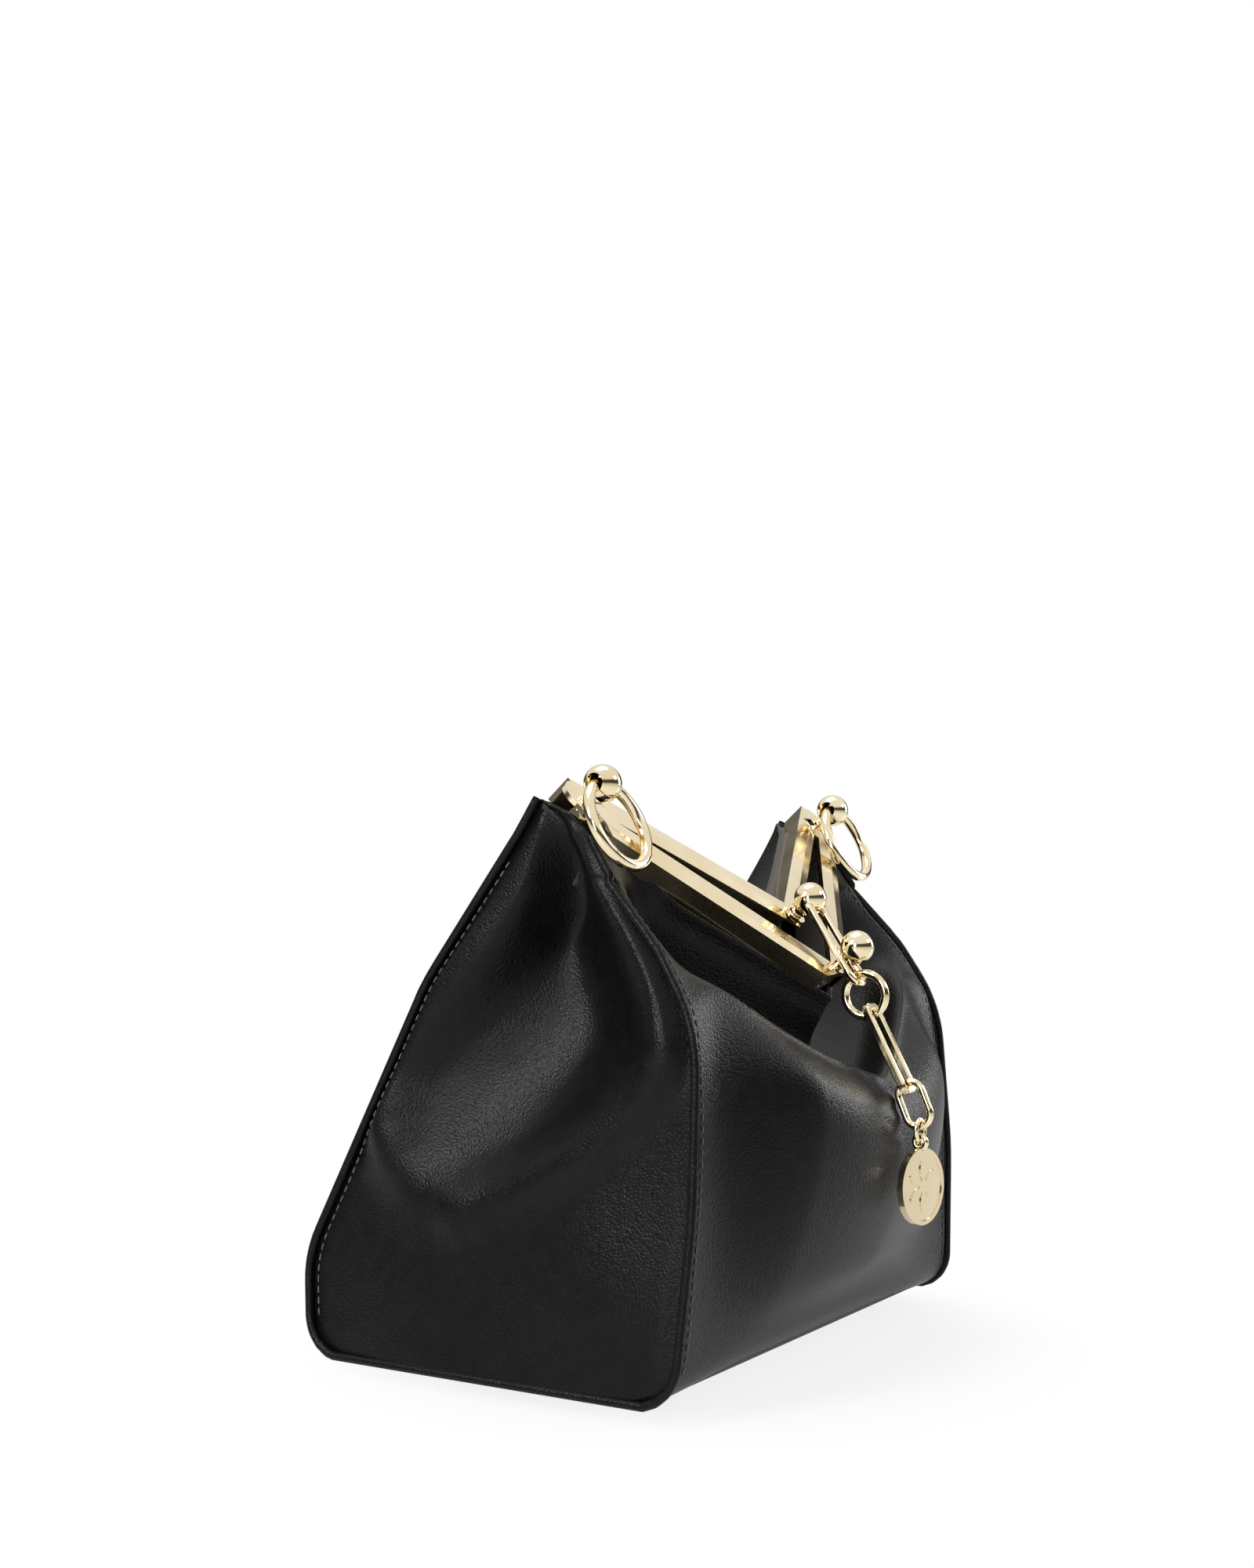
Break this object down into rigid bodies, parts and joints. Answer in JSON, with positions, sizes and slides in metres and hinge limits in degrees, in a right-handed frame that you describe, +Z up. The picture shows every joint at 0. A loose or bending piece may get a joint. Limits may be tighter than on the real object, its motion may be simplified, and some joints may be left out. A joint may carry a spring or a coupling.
{
  "type": "doctor bag",
  "caption": "Small black leather doctor bag with a V-shaped hinged gold purse frame, ball studs carrying swinging rings, a clasp link and a hanging chain with a plain disc charm.",
  "frame": {"origin": "on the floor under the middle of the bounding box, chain included; the middle of the base is 16.4 mm behind it", "axes": "+X along the bag to its right as seen from the front, -Y towards the front with the clasp and charm, +Z up"},
  "size_m": [0.2088, 0.176, 0.1913],
  "materials": {
    "leather": "smooth black leather with a soft sheen",
    "gold": "polished pale gold plating",
    "board": "dark fibre board"
  },
  "bodies": {
    "bag": {"base_panel": "leather", "base_board": "board", "front_panel": "leather", "back_panel": "leather", "front_gather": "leather", "gusset_right": "leather", "gusset_left": "leather", "piping_right": "leather", "piping_left": "leather", "hinge_pin_right": "gold", "hinge_pin_left": "gold", "ear_stud_right": "gold", "ear_stud_left": "gold", "ear_ball_right": "gold", "ear_ball_left": "gold", "foot_front_right": "gold", "foot_back_right": "gold", "foot_front_left": "gold", "foot_back_left": "gold", "frame_back": "gold", "clamp_back_right": "gold", "clamp_back_left": "gold", "snap_socket": "gold"},
    "front_half": {"frame_front": "gold", "clamp_front_right": "gold", "clamp_front_left": "gold", "snap_stud": "gold", "snap_ball": "gold", "clasp_link": "gold", "clasp_post": "gold", "clasp_ball": "gold"},
    "ring_right": {"o_ring_right": "gold"},
    "ring_left": {"o_ring_left": "gold"},
    "chain_round": {"round_link": "gold"},
    "chain_long": {"long_link": "gold"},
    "chain_oval": {"oval_link": "gold"},
    "charm_jump": {"jump_ring": "gold"},
    "charm": {"charm_bail": "gold", "charm_disc": "gold", "charm_motif": "gold"}
  },
  "joints": [
    {"name": "front_half_opens", "type": "hinge", "parent": "bag", "child": "front_half", "pos_m": [0, -0.00627, 0.17541], "axis": [-1, 0, 0], "range_deg": [0, 40]},
    {"name": "ring_right_swings", "type": "hinge", "parent": "bag", "child": "ring_right", "pos_m": [0.0828, -0.0144, 0.18526], "axis": [-1, 0, 0], "range_deg": [0, 40]},
    {"name": "ring_left_swings", "type": "hinge", "parent": "bag", "child": "ring_left", "pos_m": [-0.0828, -0.0144, 0.18526], "axis": [-1, 0, 0], "range_deg": [0, 40]},
    {"name": "chain_hangs", "type": "hinge", "parent": "front_half", "child": "chain_round", "pos_m": [0, -0.06281, 0.12255], "axis": [-1, 0, 0], "range_deg": [-40, 0]},
    {"name": "long_link_swings", "type": "hinge", "parent": "chain_round", "child": "chain_long", "pos_m": [0, -0.06614, 0.11473], "axis": [-1, 0, 0], "range_deg": [0, 35]},
    {"name": "oval_link_swings", "type": "hinge", "parent": "chain_long", "child": "chain_oval", "pos_m": [0, -0.07953, 0.08845], "axis": [-1, 0, 0], "range_deg": [0, 35]},
    {"name": "jump_ring_swings", "type": "hinge", "parent": "chain_oval", "child": "charm_jump", "pos_m": [0, -0.08329, 0.07913], "axis": [-1, 0, 0], "range_deg": [-3, 35]},
    {"name": "charm_swings", "type": "hinge", "parent": "charm_jump", "child": "charm", "pos_m": [0, -0.08329, 0.07213], "axis": [-1, 0, 0], "range_deg": [-3, 35]}
  ],
  "couplings": [
    {"joint": "chain_hangs", "follows": "front_half_opens", "ratio": -1},
    {"joint": "ring_right_swings", "follows": "front_half_opens", "ratio": 1},
    {"joint": "ring_left_swings", "follows": "front_half_opens", "ratio": 1}
  ]
}
